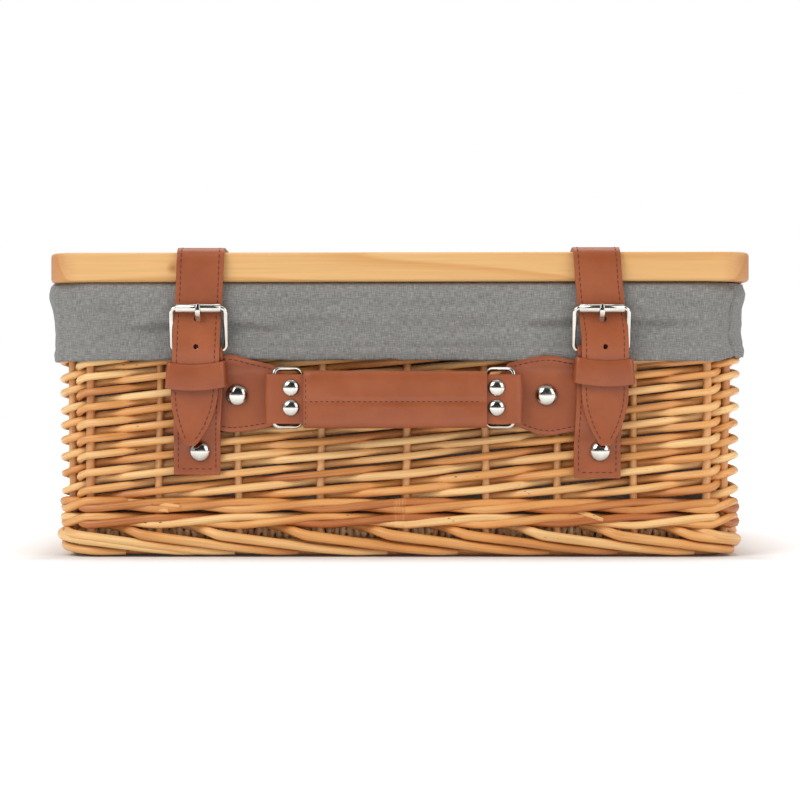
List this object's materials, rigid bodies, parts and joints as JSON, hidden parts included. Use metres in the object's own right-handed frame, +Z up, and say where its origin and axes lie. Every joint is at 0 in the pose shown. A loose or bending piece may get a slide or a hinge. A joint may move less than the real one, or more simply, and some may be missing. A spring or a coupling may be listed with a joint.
{
  "type": "lidded wicker basket",
  "caption": "Rectangular willow basket with a cloth liner, a hinged pine board lid, buckled leather straps and a leather carrying handle on wire rings.",
  "frame": {"origin": "centre of the bounding box's bottom, on the surface the basket stands on", "axes": "+X along the width to the viewer's right, +Z up, the buckles and the handle face -Y"},
  "size_m": [0.3926, 0.3155, 0.1718],
  "materials": {
    "willow": "satin",
    "pine": "satin",
    "cloth": "matte",
    "leather": "satin",
    "nickel": "polished"
  },
  "bodies": {
    "basket": {"foot_border": "willow", "woven_base": "willow", "lower_wale": "willow", "side_weave": "willow", "stakes_front": "willow", "stakes_right": "willow", "stakes_back": "willow", "stakes_left": "willow", "liner_bag": "cloth", "liner_cuff": "cloth", "left_buckle_strap": "leather", "left_buckle_strap_rivet": "nickel", "left_handle_anchor": "leather", "left_anchor_rivet": "nickel", "left_hinge_strap": "leather", "left_hinge_upper_rivet": "nickel", "left_hinge_lower_rivet": "nickel", "right_buckle_strap": "leather", "right_buckle_strap_rivet": "nickel", "right_handle_anchor": "leather", "right_anchor_rivet": "nickel", "right_hinge_strap": "leather", "right_hinge_upper_rivet": "nickel", "right_hinge_lower_rivet": "nickel"},
    "lid": {"lid_board": "pine", "left_batten": "pine", "left_batten_front_screw": "nickel", "left_batten_rear_screw": "nickel", "left_lid_strap": "leather", "left_strap_front_screw": "nickel", "left_strap_rear_screw": "nickel", "right_batten": "pine", "right_batten_front_screw": "nickel", "right_batten_rear_screw": "nickel", "right_lid_strap": "leather", "right_strap_front_screw": "nickel", "right_strap_rear_screw": "nickel"},
    "handle": {"handle_strap": "leather", "handle_grip": "leather", "left_handle_upper_rivet": "nickel", "left_handle_lower_rivet": "nickel", "right_handle_upper_rivet": "nickel", "right_handle_lower_rivet": "nickel"},
    "left_tail": {"left_strap_tail": "leather"},
    "left_buckle": {"left_buckle_frame": "nickel"},
    "left_roller": {"left_buckle_roller": "nickel"},
    "left_prong": {"left_buckle_prong": "nickel"},
    "left_keeper_loop": {"left_keeper": "leather"},
    "left_ring": {"left_handle_ring": "nickel"},
    "right_tail": {"right_strap_tail": "leather"},
    "right_buckle": {"right_buckle_frame": "nickel"},
    "right_roller": {"right_buckle_roller": "nickel"},
    "right_prong": {"right_buckle_prong": "nickel"},
    "right_keeper_loop": {"right_keeper": "leather"},
    "right_ring": {"right_handle_ring": "nickel"}
  },
  "joints": [
    {"name": "lid_hinge", "type": "hinge", "parent": "basket", "child": "lid", "pos_m": [0, 0.1552, 0.1506], "axis": [-1, 0, 0], "range_deg": [0, 105]},
    {"name": "left_strap_lift", "type": "hinge", "parent": "lid", "child": "left_tail", "pos_m": [-0.10925, -0.1484, 0.1639], "axis": [-1, 0, 0], "range_deg": [0, 95], "deforming": ["left_strap_tail"]},
    {"name": "left_buckle_swing", "type": "hinge", "parent": "basket", "child": "left_buckle", "pos_m": [-0.10925, -0.1466, 0.1135], "axis": [1, 0, 0], "range_deg": [0, 80]},
    {"name": "left_prong_swing", "type": "hinge", "parent": "left_buckle", "child": "left_prong", "pos_m": [-0.10925, -0.1466, 0.1135], "axis": [1, 0, 0], "range_deg": [0, 20]},
    {"name": "left_roller_spin", "type": "hinge", "parent": "left_buckle", "child": "left_roller", "pos_m": [-0.10925, -0.1529, 0.136], "axis": [1, 0, 0], "continuous": true},
    {"name": "left_keeper_slide", "type": "slide", "parent": "basket", "child": "left_keeper_loop", "axis": [0, 0, -1], "range_m": [0, 0.018]},
    {"name": "right_strap_lift", "type": "hinge", "parent": "lid", "child": "right_tail", "pos_m": [0.10925, -0.1484, 0.1639], "axis": [-1, 0, 0], "range_deg": [0, 95], "deforming": ["right_strap_tail"]},
    {"name": "right_buckle_swing", "type": "hinge", "parent": "basket", "child": "right_buckle", "pos_m": [0.10925, -0.1466, 0.1135], "axis": [1, 0, 0], "range_deg": [0, 80]},
    {"name": "right_prong_swing", "type": "hinge", "parent": "right_buckle", "child": "right_prong", "pos_m": [0.10925, -0.1466, 0.1135], "axis": [1, 0, 0], "range_deg": [0, 20]},
    {"name": "right_roller_spin", "type": "hinge", "parent": "right_buckle", "child": "right_roller", "pos_m": [0.10925, -0.1529, 0.136], "axis": [1, 0, 0], "continuous": true},
    {"name": "right_keeper_slide", "type": "slide", "parent": "basket", "child": "right_keeper_loop", "axis": [0, 0, -1], "range_m": [0, 0.018]},
    {"name": "handle_pull", "type": "slide", "parent": "basket", "child": "handle", "axis": [0, -1, 0], "range_m": [0, 0.006]},
    {"name": "left_ring_swing", "type": "hinge", "parent": "basket", "child": "left_ring", "pos_m": [-0.0544, -0.1442, 0.0875], "axis": [0, 0, 1], "range_deg": [0, 30]},
    {"name": "right_ring_swing", "type": "hinge", "parent": "basket", "child": "right_ring", "pos_m": [0.0476, -0.1442, 0.0875], "axis": [0, 0, -1], "range_deg": [0, 30]}
  ],
  "couplings": [
    {"joint": "left_buckle_swing", "follows": "left_strap_lift", "ratio": 0.84},
    {"joint": "left_prong_swing", "follows": "left_strap_lift", "ratio": 0.2},
    {"joint": "right_buckle_swing", "follows": "right_strap_lift", "ratio": 0.84},
    {"joint": "right_prong_swing", "follows": "right_strap_lift", "ratio": 0.2},
    {"joint": "left_ring_swing", "follows": "handle_pull", "rad_per_m": 82},
    {"joint": "right_ring_swing", "follows": "handle_pull", "rad_per_m": 82}
  ]
}
